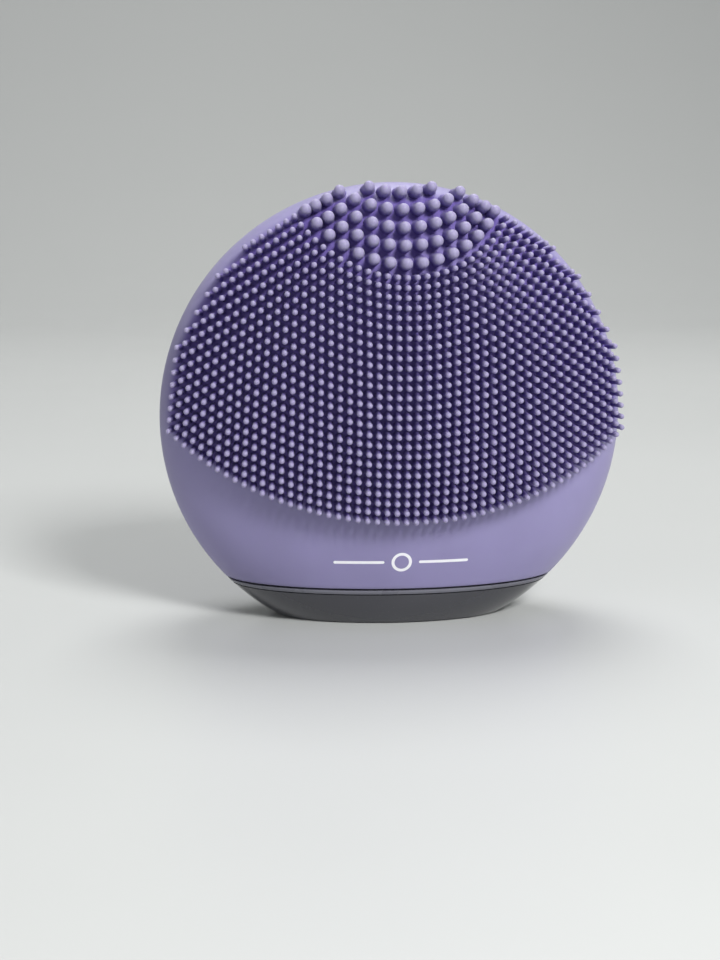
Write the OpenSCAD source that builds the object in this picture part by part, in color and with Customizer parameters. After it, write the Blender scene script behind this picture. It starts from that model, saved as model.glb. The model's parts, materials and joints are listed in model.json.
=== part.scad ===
// Facial cleansing brush: a round silicone pebble that stands on a flat glossy base.
// Origin at the centre of the standing face, +Z up, touch-points face -Y, back and button face +Y.

/* [Body] */
// Radius of the round body, seen from the front
body_radius = 34; // [33:0.5:45]
// Thickness of the body from front to back, without touch-points
body_depth = 30; // [29:0.5:42]
// Height of the body's centre above the standing face
body_centre_z = 29.5; // [29:0.25:38]
// Wall of the silicone sleeve
sleeve_wall = 2; // [1.6:0.1:2.6]
// Wall of the hard shell inside the sleeve
housing_wall = 1.6; // [1.2:0.1:2]

/* [Touch-points] */
// How far every touch-point stands out of the sleeve, along the front axis
touchpoint_height = 3; // [1.5:0.1:4.5]
// Radius of the disc that the touch-points fill
field_radius = 32.8; // [28:0.2:40]
// Height above the body's centre of the point that all rows curve around
row_centre_above = 39.6; // [36:0.2:52]
// Radius of the outermost row of fine touch-points
fine_outer_row = 52.5; // [46:0.5:66]
// Radius of the innermost row of fine touch-points
fine_inner_row = 17.6; // [15:0.2:24]
// Distance between neighbouring fine touch-points
fine_pitch = 1.4; // [1.2:0.05:2]
// Radius of the outermost row of thick touch-points
thick_outer_row = 15.7; // [13:0.1:22]
// Distance between neighbouring thick touch-points
thick_pitch = 2.25; // [2:0.05:3.2]
// Radius of a thick touch-point
thick_radius = 0.82; // [0.5:0.02:1]

/* [Back ridges] */
// Number of raised massage arcs
ridge_count = 6; // [1:1:6]
// Radius of the smallest arc
ridge_first = 8; // [6:0.5:10]
// Distance between arcs
ridge_pitch = 3.6; // [2.6:0.1:3.8]
// Radius of an arc's round cross-section
ridge_radius = 1.1; // [0.6:0.1:1.2]
// How far each arc drops below the horizontal at its ends, in degrees
ridge_drop = 20; // [0:5:25]

/* [Base] */
// Height of the glossy base cap
base_height = 4.9; // [4.5:0.1:6.5]
// Height of the lower dark gasket
base_gasket_height = 0.2; // [0.1:0.05:0.4]
// Height of the trim ring
trim_height = 0.65; // [0.4:0.05:1]
// Height of the upper dark gasket
seam_gasket_height = 0.25; // [0.1:0.05:0.4]
// How far both gaskets sit back from the surface
gasket_setback = 0.5; // [0.2:0.1:0.8]
// Wall of the base cap
base_wall = 1.6; // [1.2:0.1:2]
// Floor of the base cap
base_floor = 1.5; // [1.4:0.1:2]
// Thickness of the floor plate that the inner parts stand on
plate_height = 2; // [1.6:0.1:3]
// Distance of each base screw from the centre
base_screw_x = 13.9; // [12.5:0.1:16]

/* [Power button] */
// Height of the button's centre above the standing face
button_z = 18.5; // [18:0.5:22]
// Radius of the button cap
button_radius = 5.5; // [4.5:0.1:6]
// How far the button travels inwards
button_travel = 0.6; // [0.3:0.05:0.8]
// How far the button stands proud of the sleeve
button_proud = 0.3; // [0:0.05:0.6]
// Width of the ring around the button
ring_width = 1.25; // [0.8:0.05:1.5]
// Gap all round between the button and its ring
button_gap = 0.25; // [0.15:0.05:0.4]

/* [Electronics] */
// Width of the circuit board
board_width = 32; // [28:1:34]
// Height of the circuit board
board_height = 20; // [18:0.5:22]
// Height of the board's lower edge above the standing face
board_bottom_z = 14; // [14:0.5:16]
// Thickness of the circuit board
board_thickness = 1; // [0.8:0.1:1.2]
// Width and height of the push switch
switch_size = 6; // [5:0.5:6.5]
// Height of the push switch's case above the board
switch_height = 3.5; // [2.8:0.1:3.8]
// Radius of the push switch's stem
stem_radius = 1.7; // [1.2:0.1:2]
// Width of the battery
battery_width = 28; // [20:1:30]
// Height of the battery
battery_height = 18; // [14:0.5:19]
// Thickness of the battery
battery_thickness = 6; // [4:0.2:6.4]
// Radius of the light pipe
pipe_radius = 0.9; // [0.6:0.1:1.2]

/* [Motor] */
// Height of the motor's shaft above the standing face
motor_z = 46; // [45:0.5:48]
// Radius of the motor can
can_radius = 5.25; // [4:0.25:5.5]
// Length of the motor can
can_length = 14; // [12:0.5:16]
// Radius of the motor shaft
shaft_radius = 0.75; // [0.5:0.05:1]
// Radius of the eccentric weight
weight_radius = 4.8; // [3:0.1:5]
// Length of the eccentric weight
weight_length = 5; // [3:0.5:5.5]
// Thickness of the rubber cushion around the motor
cushion_thickness = 1; // [0.6:0.1:1.2]

/* [Charging port] */
// Distance of the port from the centre, to the viewer's right
jack_x = 7; // [6:0.25:7.5]
// Radius of the port's bore
jack_bore = 1.3; // [0.8:0.05:1.6]
// Depth of the port's bore
jack_depth = 9; // [6:0.5:9]
// Wall of the port's metal barrel
jack_wall = 0.9; // [0.5:0.1:1]

/* [Fits] */
// Gap between nested shells
shell_gap = 0.1; // [0.05:0.01:0.2]
// Radial clearance of a shaft or stem that moves in a hole
running_gap = 0.04; // [0.02:0.01:0.08]
// Radial clearance of a fixed pin or screw in its hole
fixed_gap = 0.02; // [0.01:0.01:0.05]
// Gap between moving parts that must never touch
free_gap = 0.35; // [0.3:0.05:0.5]
// How deep raised silicone features are moulded into the sleeve
moulding_sink = 0.15; // [0.1:0.05:0.3]

/* [Hidden] */

half_depth = body_depth / 2;
far = 2 * body_radius;
shell_fn = 96;
round_fn = 48;
wire_fn = 10;

// Heights of the stacked rings between the base cap and the sleeve
base_gasket_top = base_height + base_gasket_height;
trim_top = base_gasket_top + trim_height;
seam_z = trim_top + seam_gasket_height;
ring_bore = sleeve_wall + 2 * shell_gap;
plate_top = base_height + plate_height;

// Insets of the nested shells from the outer surface
housing_outer = sleeve_wall + shell_gap;
housing_inner = housing_outer + housing_wall;
split_gap = 0.35;
gasket_inset = 0.2;

// Half the depth of a shell at a distance from the body's axis
function shell_y(r, inset) =
    (half_depth - inset) * sqrt(1 - pow(r / (body_radius - inset), 2));

// Rows of touch-points
row_centre_z = body_centre_z + row_centre_above;
thick_rows = 6;
field_margin = 0.7;
zone_radius = (fine_inner_row + thick_outer_row) / 2 + 0.1;

// Inner layout, front to back
frame_front = -0.2;
frame_thickness = 1.2;
board_front = frame_front + frame_thickness;
board_back = board_front + board_thickness;
frame_half_width = board_width / 2 + 2.5;
frame_top = board_bottom_z + board_height + 3;
pad_thickness = 0.8;
battery_back = frame_front - pad_thickness;

// Button stack: the switch's stem, the plunger, the flange, the cap
stem_out = 1;
stem_in = 1.3;
switch_face = board_back + switch_height;
stem_tip = switch_face + stem_out;
plunger_tip = stem_tip + fixed_gap;
flange_back = plunger_tip + 1.15;
flange_thickness = 0.8;
ring_back = flange_back + flange_thickness + 0.1;
ring_inner = button_radius + button_gap;
ring_outer = ring_inner + ring_width;
flange_radius = ring_inner + 0.75;
plunger_radius = 1.4;
pipe_z = button_z + ring_outer + pipe_radius + 1.2;

// Screws
screw_radius = 0.8;
screw_head_radius = 1.5;
screw_head_height = 1.2;
boss_radius = 2.1;
housing_screw_reach = [3, -4];
housing_screw_xz = [
    [body_radius - 12, body_centre_z - 9.5],
    [12 - body_radius, body_centre_z - 9.5],
    [body_radius - 14, body_centre_z + 13.5],
    [14 - body_radius, body_centre_z + 13.5]
];
base_head_bottom = base_floor - 0.6;
board_screw_x = board_width / 2 - 2.5;
board_screw_z = board_bottom_z + board_height - 2.5;

// Motor, along its shaft
can_start = -8;
can_end = can_start + can_length;
can_wall = 0.5;
end_cap_thickness = 1.2;
bushing_radius = 1.6;
bushing_proud = 0.8;
magnet_thickness = 0.75;
magnet_start = can_start + 2;
magnet_end = can_end - 2;
core_radius = can_radius - can_wall - magnet_thickness - free_gap;
core_start = magnet_start + 1;
core_end = magnet_end - 1;
slot_radius = core_radius * 0.27;
slot_centre = core_radius * 0.72;
commutator_radius = shaft_radius + 0.5;
commutator_start = can_start + 0.6;
weight_start = can_end + bushing_proud + free_gap + 0.4;
weight_end = weight_start + weight_length;
cradle_start = can_start + 1;
cradle_end = can_end - 3;
cushion_outer = can_radius + cushion_thickness;
clamp_outer = cushion_outer + 1;

// Charging port
jack_outer = jack_bore + jack_wall;
jack_top = base_floor + jack_depth;
shell_half = jack_outer + 1.3;
shell_top = jack_top + 1.6;
port_radius = jack_bore + 0.6;

// ---------- shared shapes ----------

// The rounded pebble that every shell follows, drawn in by an inset
module pebble(inset = 0) {
    translate([0, 0, body_centre_z])
        scale([body_radius - inset, half_depth - inset, body_radius - inset])
            sphere(r = 1, $fn = shell_fn);
}

// Everything between two heights
module slab(z_low, z_high) {
    translate([-far, -far, z_low]) cube([2 * far, 2 * far, z_high - z_low]);
}

// One horizontal slice of the pebble
module slice(inset, z_low, z_high) {
    intersection() {
        pebble(inset);
        slab(z_low, z_high);
    }
}

// A cylinder along the front-to-back axis, from y_low to y_high
module rod_y(x, z, radius, y_low, y_high) {
    translate([x, y_high, z]) rotate([90, 0, 0])
        cylinder(r = radius, h = y_high - y_low, $fn = round_fn);
}

// A cylinder along the motor's shaft, from x_low to x_high
module rod_x(radius, x_low, x_high) {
    translate([x_low, 0, motor_z]) rotate([0, 90, 0])
        cylinder(r = radius, h = x_high - x_low, $fn = round_fn);
}

// A tube along the motor's shaft
module tube_x(outer, inner, x_low, x_high) {
    difference() {
        rod_x(outer, x_low, x_high);
        rod_x(inner, x_low - 1, x_high + 1);
    }
}

// A vertical cylinder
module rod_z(x, radius, z_low, z_high) {
    translate([x, 0, z_low]) cylinder(r = radius, h = z_high - z_low, $fn = round_fn);
}

// A box given by two opposite corners
module box_between(low, high) {
    translate(low) cube(high - low);
}

// A screw along +Y: its head's outer face at y_head, its tip at y_tip
module screw_y(x, z, y_head, y_tip) {
    rod_y(x, z, screw_radius, y_tip, y_head - screw_head_height / 2);
    difference() {
        rod_y(x, z, screw_head_radius, y_head - screw_head_height, y_head);
        rod_y(x, z, screw_radius * 0.8, y_head - screw_head_height / 2, y_head + 1);
    }
}

// A round lead through a list of points
module lead(points, radius = 0.45) {
    for (i = [0 : len(points) - 2]) {
        hull() {
            translate(points[i]) sphere(r = radius, $fn = wire_fn);
            translate(points[i + 1]) sphere(r = radius, $fn = wire_fn);
        }
    }
}

// ---------- silicone ----------

module silicone_sleeve() {
    color([0.62, 0.55, 0.84])
    difference() {
        slice(0, seam_z, far + body_centre_z);
        pebble(sleeve_wall);
        rod_y(0, button_z, ring_outer + fixed_gap, 0, far);
        rod_y(0, pipe_z, pipe_radius + fixed_gap, 0, far);
    }
}

// Outline of the fine field seen from the front: a disc between two arcs around the row centre
module fine_field_outline() {
    difference() {
        intersection() {
            circle(r = field_radius + field_margin, $fn = shell_fn);
            translate([0, row_centre_above]) circle(r = fine_outer_row + field_margin, $fn = shell_fn);
        }
        translate([0, row_centre_above]) circle(r = zone_radius, $fn = shell_fn);
    }
}

module fine_touchpoints() {
    color([0.66, 0.6, 0.88])
    difference() {
        intersection() {
            translate([0, -touchpoint_height, 0]) pebble();
            translate([0, 0, body_centre_z]) rotate([90, 0, 0])
                linear_extrude(height = far) fine_field_outline();
        }
        pebble(moulding_sink);
    }
}

// Half outline of one thick touch-point with its round tip, from the root up
module touchpoint_profile(length) {
    square([thick_radius, length - thick_radius]);
    intersection() {
        translate([0, length - thick_radius]) circle(r = thick_radius, $fn = round_fn);
        translate([0, length - thick_radius]) square(2 * thick_radius);
    }
}

module thick_touchpoints() {
    root = 2 * moulding_sink + 0.4;
    color([0.72, 0.67, 0.92])
    for (row = [0 : thick_rows - 1]) {
        row_radius = thick_outer_row - row * thick_pitch;
        if (row_radius > thick_pitch) {
            step = thick_pitch / row_radius * 180 / PI;
            for (i = [-9 : 9]) {
                x = row_radius * sin(i * step);
                z = row_centre_above - row_radius * cos(i * step);
                r = norm([x, z]);
                if (r < field_radius && abs(i * step) < 100)
                    translate([x, root - shell_y(r, 0), body_centre_z + z]) rotate([90, 0, 0])
                        rotate_extrude($fn = round_fn) touchpoint_profile(touchpoint_height + root);
            }
        }
    }
}

module massage_ridges() {
    color([0.6, 0.53, 0.82])
    for (i = [0 : ridge_count - 1]) {
        radius = ridge_first + i * ridge_pitch;
        translate([0, shell_y(radius, moulding_sink + ridge_radius * 0.2), body_centre_z])
            rotate([90, 0, 0]) rotate([0, 0, -ridge_drop])
                rotate_extrude(angle = 180 + 2 * ridge_drop, $fn = shell_fn)
                    translate([radius, 0]) circle(r = ridge_radius, $fn = round_fn);
    }
}

// ---------- hard shell ----------

// The part of the hard shell on one side of the split
module half_shell(y_low, y_high) {
    intersection() {
        difference() {
            pebble(housing_outer);
            pebble(housing_inner);
        }
        translate([-far, y_low, plate_top]) cube([2 * far, y_high - y_low, 2 * far]);
    }
}

module front_housing() {
    color([0.86, 0.86, 0.88])
    difference() {
        union() {
            half_shell(-far, -split_gap);
            for (p = housing_screw_xz)
                intersection() {
                    pebble(housing_outer + housing_wall / 2);
                    rod_y(p[0], p[1], boss_radius, -far, -split_gap);
                }
        }
        for (p = housing_screw_xz)
            rod_y(p[0], p[1], screw_radius + fixed_gap, housing_screw_reach[1] - 0.5, 0);
    }
}

module back_housing() {
    color([0.86, 0.86, 0.88])
    difference() {
        union() {
            half_shell(split_gap, far);
            for (p = housing_screw_xz)
                intersection() {
                    pebble(housing_outer + housing_wall / 2);
                    rod_y(p[0], p[1], boss_radius, split_gap, far);
                }
        }
        for (p = housing_screw_xz) {
            rod_y(p[0], p[1], screw_radius + fixed_gap, 0, far);
            rod_y(p[0], p[1], screw_head_radius + fixed_gap, housing_screw_reach[0], far);
        }
        rod_y(0, button_z, ring_outer + fixed_gap, 0, far);
        rod_y(0, pipe_z, pipe_radius + fixed_gap, 0, far);
    }
}

module housing_gasket() {
    color([0.18, 0.18, 0.2])
    intersection() {
        difference() {
            pebble(housing_outer + gasket_inset);
            pebble(housing_inner - gasket_inset);
        }
        translate([-far, -split_gap, plate_top]) cube([2 * far, 2 * split_gap, 2 * far]);
    }
}

module housing_screw(index) {
    p = housing_screw_xz[index];
    color([0.7, 0.7, 0.72])
    screw_y(p[0], p[1], housing_screw_reach[0] + screw_head_height, housing_screw_reach[1]);
}

// ---------- base ----------

module base_cap() {
    color([0.2, 0.2, 0.25])
    difference() {
        union() {
            difference() {
                slice(0, 0, base_height);
                slice(base_wall, base_floor, base_height + 1);
            }
            for (side = [-1, 1])
                rod_z(side * base_screw_x, boss_radius, base_floor / 2, base_height);
        }
        rod_z(jack_x, port_radius, -1, base_floor + 1);
        for (side = [-1, 1]) {
            rod_z(side * base_screw_x, screw_radius + fixed_gap, -1, base_height + 1);
            rod_z(side * base_screw_x, screw_head_radius + fixed_gap,
                  -1, base_head_bottom + screw_head_height);
        }
    }
}

// A ring of the pebble's own outline between two heights
module outline_ring(inset, z_low, z_high) {
    difference() {
        slice(inset, z_low, z_high);
        pebble(ring_bore);
    }
}

module base_gasket() {
    color([0.08, 0.08, 0.1])
    outline_ring(gasket_setback, base_height, base_gasket_top);
}

module base_trim_ring() {
    color([0.5, 0.5, 0.56])
    outline_ring(0, base_gasket_top, trim_top);
}

module seam_gasket() {
    color([0.08, 0.08, 0.1])
    outline_ring(gasket_setback, trim_top, seam_z);
}

module floor_plate() {
    color([0.8, 0.8, 0.82])
    difference() {
        slice(ring_bore + shell_gap, base_height, plate_top);
        translate([jack_x - shell_half - fixed_gap, -shell_half - fixed_gap, base_height - 1])
            cube([2 * (shell_half + fixed_gap), 2 * (shell_half + fixed_gap), plate_height + 2]);
        for (side = [-1, 1])
            rod_z(side * base_screw_x, screw_radius + fixed_gap, base_height - 1, plate_top + 1);
    }
}

module base_screw(side) {
    color([0.7, 0.7, 0.72]) {
        rod_z(side * base_screw_x, screw_radius, base_head_bottom + screw_head_height / 2, plate_top - 0.3);
        difference() {
            rod_z(side * base_screw_x, screw_head_radius,
                  base_head_bottom, base_head_bottom + screw_head_height);
            rod_z(side * base_screw_x, screw_radius * 0.8,
                  base_head_bottom - 1, base_head_bottom + screw_head_height / 2);
        }
    }
}

module screw_cover(side) {
    recess = 0.1;
    color([0.16, 0.16, 0.2])
    rod_z(side * base_screw_x, screw_head_radius, recess, base_head_bottom - fixed_gap);
}

// ---------- frame, battery and board ----------

module mid_frame() {
    color([0.75, 0.75, 0.78])
    difference() {
        box_between([-frame_half_width, frame_front, plate_top],
                    [frame_half_width, frame_front + frame_thickness, frame_top]);
        box_between([jack_x - shell_half - free_gap, frame_front - 1, plate_top - 1],
                    [jack_x + shell_half + free_gap, board_front + 1, shell_top + free_gap]);
        for (side = [-1, 1])
            rod_y(side * board_screw_x, board_screw_z, screw_radius + fixed_gap, frame_front - 1, board_front + 1);
    }
}

module battery_cell() {
    edge = 1;
    color([0.75, 0.76, 0.8])
    hull()
        for (x = [-1, 1], y = [-1, 1], z = [-1, 1])
            translate([x * (battery_width / 2 - edge),
                       battery_back - battery_thickness / 2 + y * (battery_thickness / 2 - edge),
                       board_bottom_z + battery_height / 2 + z * (battery_height / 2 - edge)])
                sphere(r = edge, $fn = 16);
}

module battery_board() {
    color([0.1, 0.4, 0.22])
    box_between([-7, battery_back - battery_thickness + 0.7, board_bottom_z + battery_height],
                [7, battery_back - 0.7, board_bottom_z + battery_height + 0.8]);
}

module battery_pad() {
    inset = 2;
    color([0.25, 0.25, 0.27])
    box_between([inset - battery_width / 2, battery_back, board_bottom_z + inset],
                [battery_width / 2 - inset, frame_front, board_bottom_z + battery_height - inset]);
}

module circuit_board() {
    color([0.08, 0.35, 0.2])
    difference() {
        box_between([-board_width / 2, board_front, board_bottom_z],
                    [board_width / 2, board_back, board_bottom_z + board_height]);
        for (side = [-1, 1])
            rod_y(side * board_screw_x, board_screw_z, screw_radius + fixed_gap, board_front - 1, board_back + 1);
    }
}

module board_screw(side) {
    color([0.7, 0.7, 0.72])
    screw_y(side * board_screw_x, board_screw_z, board_back + screw_head_height, frame_front + 0.1);
}

module controller_chip() {
    chip = 5;
    color([0.1, 0.1, 0.11])
    box_between([6, board_back, board_screw_z - 8], [6 + chip, board_back + 0.9, board_screw_z - 8 + chip]);
}

module board_parts() {
    part = [1.6, 0.7, 0.9];
    color([0.72, 0.6, 0.42])
    for (column = [0 : 2], row = [0 : 3])
        translate([-13 + 2.8 * column, board_back, board_bottom_z + 2 + 2.6 * row]) cube(part);
}

module status_led() {
    color([0.95, 0.95, 0.9])
    box_between([-0.8, board_back, pipe_z - 0.8], [0.8, board_back + 0.8, pipe_z + 0.8]);
}

module light_pipe() {
    color([0.9, 0.93, 0.96])
    intersection() {
        pebble();
        rod_y(0, pipe_z, pipe_radius, board_back + 1.2, far);
    }
}

// ---------- button and switch ----------

module push_switch() {
    half = switch_size / 2;
    color([0.12, 0.12, 0.13])
    difference() {
        box_between([-half, board_back, button_z - half], [half, switch_face - 0.3, button_z + half]);
        rod_y(0, button_z, stem_radius + running_gap,
              switch_face - stem_in - button_travel - free_gap, switch_face + 1);
    }
}

module switch_cover() {
    half = switch_size / 2;
    color([0.75, 0.75, 0.77])
    difference() {
        box_between([-half, switch_face - 0.3, button_z - half], [half, switch_face, button_z + half]);
        rod_y(0, button_z, stem_radius + running_gap, board_back, switch_face + 1);
    }
}

module switch_stem() {
    color([0.2, 0.2, 0.22])
    rod_y(0, button_z, stem_radius, switch_face - stem_in, stem_tip);
}

module power_button() {
    color([0.7, 0.64, 0.9]) {
        intersection() {
            pebble(-button_proud);
            rod_y(0, button_z, button_radius, flange_back, far);
        }
        rod_y(0, button_z, flange_radius, flange_back, flange_back + flange_thickness);
        rod_y(0, button_z, plunger_radius, plunger_tip, flange_back + flange_thickness);
    }
}

// A ring with a bar through its top: the plain on/off sign, raised on the button
module button_icon() {
    icon_radius = 1.9;
    stroke = 0.4;
    raised = 0.12;
    color([0.95, 0.95, 0.97])
    difference() {
        intersection() {
            pebble(-button_proud - raised);
            union() {
                difference() {
                    rod_y(0, button_z, icon_radius + stroke / 2, flange_back, far);
                    rod_y(0, button_z, icon_radius - stroke / 2, flange_back - 1, far + 1);
                    box_between([-stroke * 1.5, flange_back - 1, button_z],
                                [stroke * 1.5, far, button_z + icon_radius * 2]);
                }
                box_between([-stroke / 2, flange_back, button_z + 0.5],
                            [stroke / 2, far, button_z + icon_radius + 0.9]);
            }
        }
        pebble(-button_proud);
    }
}

module button_ring() {
    color([0.3, 0.3, 0.35])
    intersection() {
        pebble(-button_proud / 2);
        difference() {
            rod_y(0, button_z, ring_outer, ring_back, far);
            rod_y(0, button_z, ring_inner, ring_back - 1, far + 1);
        }
    }
}

// ---------- motor ----------

module motor_can() {
    color([0.72, 0.72, 0.74])
    difference() {
        rod_x(can_radius, can_start, can_end);
        rod_x(can_radius - can_wall, can_start - 1, can_end - can_wall);
        rod_x(bushing_radius + fixed_gap, can_start, can_end + 1);
    }
}

module motor_end_cap() {
    color([0.9, 0.9, 0.86])
    tube_x(can_radius, bushing_radius + fixed_gap, can_start - end_cap_thickness, can_start);
}

module front_bushing() {
    color([0.72, 0.52, 0.28])
    tube_x(bushing_radius, shaft_radius + running_gap, can_end - can_wall - 0.6, can_end + bushing_proud);
}

module rear_bushing() {
    color([0.72, 0.52, 0.28])
    tube_x(bushing_radius, shaft_radius + running_gap, can_start - end_cap_thickness, can_start);
}

module motor_magnets() {
    gap = 1.5;
    color([0.25, 0.25, 0.27])
    difference() {
        tube_x(can_radius - can_wall - fixed_gap, can_radius - can_wall - magnet_thickness, magnet_start, magnet_end);
        translate([magnet_start - 1, -can_radius, motor_z - gap / 2])
            cube([magnet_end - magnet_start + 2, 2 * can_radius, gap]);
    }
}

module motor_brushes() {
    touch = commutator_radius + running_gap;
    color([0.6, 0.42, 0.25])
    for (side = [-1, 1])
        translate([can_start, side > 0 ? touch : -touch - 0.4, motor_z - 1.2])
            cube([1.7, 0.4, 2.4]);
}

module rotor_core() {
    color([0.55, 0.55, 0.58])
    difference() {
        rod_x(core_radius, core_start, core_end);
        rod_x(shaft_radius + fixed_gap, core_start - 1, core_end + 1);
        for (pole = [0 : 2])
            translate([0, slot_centre * sin(pole * 120), slot_centre * cos(pole * 120)])
                rod_x(slot_radius, core_start - 1, core_end + 1);
    }
}

module rotor_windings() {
    color([0.75, 0.42, 0.2])
    for (pole = [0 : 2])
        translate([0, slot_centre * sin(pole * 120), slot_centre * cos(pole * 120)])
            rod_x(slot_radius - fixed_gap, core_start - 0.6, core_end + 0.6);
}

module commutator() {
    color([0.8, 0.5, 0.25])
    tube_x(commutator_radius, shaft_radius + fixed_gap, commutator_start, core_start - 0.7);
}

module motor_shaft() {
    color([0.8, 0.8, 0.82])
    rod_x(shaft_radius, can_start - end_cap_thickness + 0.1, weight_end + 0.5);
}

// A half disc that hangs below the shaft, with a hub around it
module eccentric_weight() {
    color([0.6, 0.6, 0.62])
    difference() {
        union() {
            intersection() {
                rod_x(weight_radius, weight_start, weight_end);
                slab(motor_z - 2 * weight_radius, motor_z);
            }
            rod_x(shaft_radius + 0.8, weight_start, weight_end);
        }
        rod_x(shaft_radius + fixed_gap, weight_start - 1, weight_end + 1);
    }
}

module motor_cushion() {
    color([0.15, 0.15, 0.16])
    tube_x(cushion_outer, can_radius, cradle_start, cradle_end);
}

module motor_cradle() {
    color([0.75, 0.75, 0.78])
    difference() {
        box_between([cradle_start, -clamp_outer, frame_top], [cradle_end, clamp_outer, motor_z]);
        rod_x(cushion_outer + fixed_gap, cradle_start - 1, cradle_end + 1);
    }
}

module motor_clamp() {
    color([0.78, 0.78, 0.8])
    intersection() {
        tube_x(clamp_outer, cushion_outer + fixed_gap, cradle_start, cradle_end);
        slab(motor_z, motor_z + 2 * clamp_outer);
    }
}

// ---------- charging port ----------

module charging_jack() {
    color([0.8, 0.7, 0.4])
    difference() {
        rod_z(jack_x, jack_outer, base_floor, jack_top);
        rod_z(jack_x, jack_bore, base_floor - 1, jack_top + 1);
    }
}

module jack_contact() {
    color([0.8, 0.7, 0.4])
    rod_z(jack_x, jack_outer, jack_top, jack_top + 0.8);
}

module jack_shell() {
    color([0.1, 0.1, 0.11])
    difference() {
        translate([jack_x - shell_half, -shell_half, base_floor + 0.8])
            cube([2 * shell_half, 2 * shell_half, shell_top - base_floor - 0.8]);
        rod_z(jack_x, jack_outer + fixed_gap, 0, jack_top + 0.8);
    }
}

module jack_seal() {
    color([0.08, 0.08, 0.1])
    difference() {
        rod_z(jack_x, shell_half - 0.2, base_floor, base_floor + 0.8);
        rod_z(jack_x, jack_outer + fixed_gap, 0, base_floor + 2);
    }
}

// ---------- leads ----------

module battery_leads() {
    top = board_bottom_z + battery_height + 1.3;
    color([0.75, 0.12, 0.1])
    for (x = [cradle_end + 1.2, cradle_end + 3.2])
        lead([[x, battery_back - 2, top],
              [x, battery_back - 1.2, frame_top - 1],
              [x, (frame_front + board_front) / 2, frame_top + 1],
              [x, board_back + 1.6, frame_top - 2],
              [x, board_back + 0.5, board_bottom_z + board_height - 1]]);
}

module motor_leads() {
    end = can_start - end_cap_thickness - 0.45;
    color([0.15, 0.15, 0.16])
    for (i = [0, 1])
        lead([[end, 1.5 + i, motor_z - 2],
              [end - 1.5 - i, 3.5, motor_z - 5],
              [end - 1.5 - i, 3.5, frame_top - 2],
              [end - 1.5 - i, board_back + 0.5, board_bottom_z + board_height - 1]]);
}

module jack_leads() {
    color([0.75, 0.12, 0.1])
    for (i = [0, 1])
        lead([[jack_x + 2 * i, shell_half - 0.8, shell_top + 0.45],
              [jack_x + 2 * i, shell_half, shell_top + 1.6],
              [jack_x + 2 * i, board_back + 0.5, board_bottom_z + 2.5]]);
}

silicone_sleeve();
fine_touchpoints();
thick_touchpoints();
massage_ridges();
front_housing();
back_housing();
housing_gasket();
housing_screw(0);  // housing_screw_1
housing_screw(1);  // housing_screw_2
housing_screw(2);  // housing_screw_3
housing_screw(3);  // housing_screw_4
floor_plate();
base_cap();
base_trim_ring();
seam_gasket();
base_gasket();
base_screw(-1);  // base_screw_left
base_screw(1);  // base_screw_right
screw_cover(-1);  // screw_cover_left
screw_cover(1);  // screw_cover_right
mid_frame();
battery_cell();
battery_board();
battery_pad();
circuit_board();
board_screw(-1);  // board_screw_left
board_screw(1);  // board_screw_right
controller_chip();
board_parts();
status_led();
light_pipe();
push_switch();
switch_cover();
switch_stem();
power_button();
button_icon();
button_ring();
motor_cradle();
motor_clamp();
motor_cushion();
motor_can();
motor_end_cap();
front_bushing();
rear_bushing();
motor_magnets();
motor_brushes();
rotor_core();
rotor_windings();
commutator();
motor_shaft();
eccentric_weight();
charging_jack();
jack_shell();
jack_contact();
jack_seal();
battery_leads();
motor_leads();
jack_leads();
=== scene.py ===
"""Round silicone face brush: the visual model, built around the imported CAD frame."""
import json
import math

import bpy
from bpy.props import FloatProperty, FloatVectorProperty, IntProperty, PointerProperty
from mathutils import Matrix, Vector


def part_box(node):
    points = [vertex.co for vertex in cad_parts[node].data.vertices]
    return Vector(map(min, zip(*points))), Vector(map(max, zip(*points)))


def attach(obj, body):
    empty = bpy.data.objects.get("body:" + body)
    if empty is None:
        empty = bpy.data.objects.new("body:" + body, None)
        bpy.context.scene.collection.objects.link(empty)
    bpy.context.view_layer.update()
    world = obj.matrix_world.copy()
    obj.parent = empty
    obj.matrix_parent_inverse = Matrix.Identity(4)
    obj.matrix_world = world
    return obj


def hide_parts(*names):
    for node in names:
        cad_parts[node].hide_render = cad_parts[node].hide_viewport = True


bl_info = {
    "name": "Face Cleansing Brush",
    "version": (1, 0, 0),
    "blender": (4, 5, 0),
    "location": "3D View > Sidebar > Face Brush",
    "description": "Builds a round silicone face cleansing brush around its CAD frame",
    "category": "Add Mesh",
}

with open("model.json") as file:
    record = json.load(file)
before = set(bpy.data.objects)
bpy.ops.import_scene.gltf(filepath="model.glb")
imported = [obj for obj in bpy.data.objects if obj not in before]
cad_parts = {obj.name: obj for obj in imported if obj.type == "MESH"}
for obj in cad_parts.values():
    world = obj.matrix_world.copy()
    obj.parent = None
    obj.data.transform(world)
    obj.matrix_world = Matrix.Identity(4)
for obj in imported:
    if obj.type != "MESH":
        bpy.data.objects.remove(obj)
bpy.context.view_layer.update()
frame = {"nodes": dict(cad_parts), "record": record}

MM = 0.001
HANDSET = "handset"
BUTTON = "power_button"

# The body's own numbers, read off the CAD nodes
sleeve_low, sleeve_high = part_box("silicone_sleeve")
base_low, base_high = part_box("base_cap")
trim_low, trim_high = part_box("base_trim_ring")
ring_low, ring_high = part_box("button_ring")
cap_low, cap_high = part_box("power_button")
pipe_low, pipe_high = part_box("light_pipe")
jack_low, jack_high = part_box("charging_jack")
cover_low, cover_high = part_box("screw_cover_right")
screw_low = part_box("base_screw_right")[0]

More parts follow.
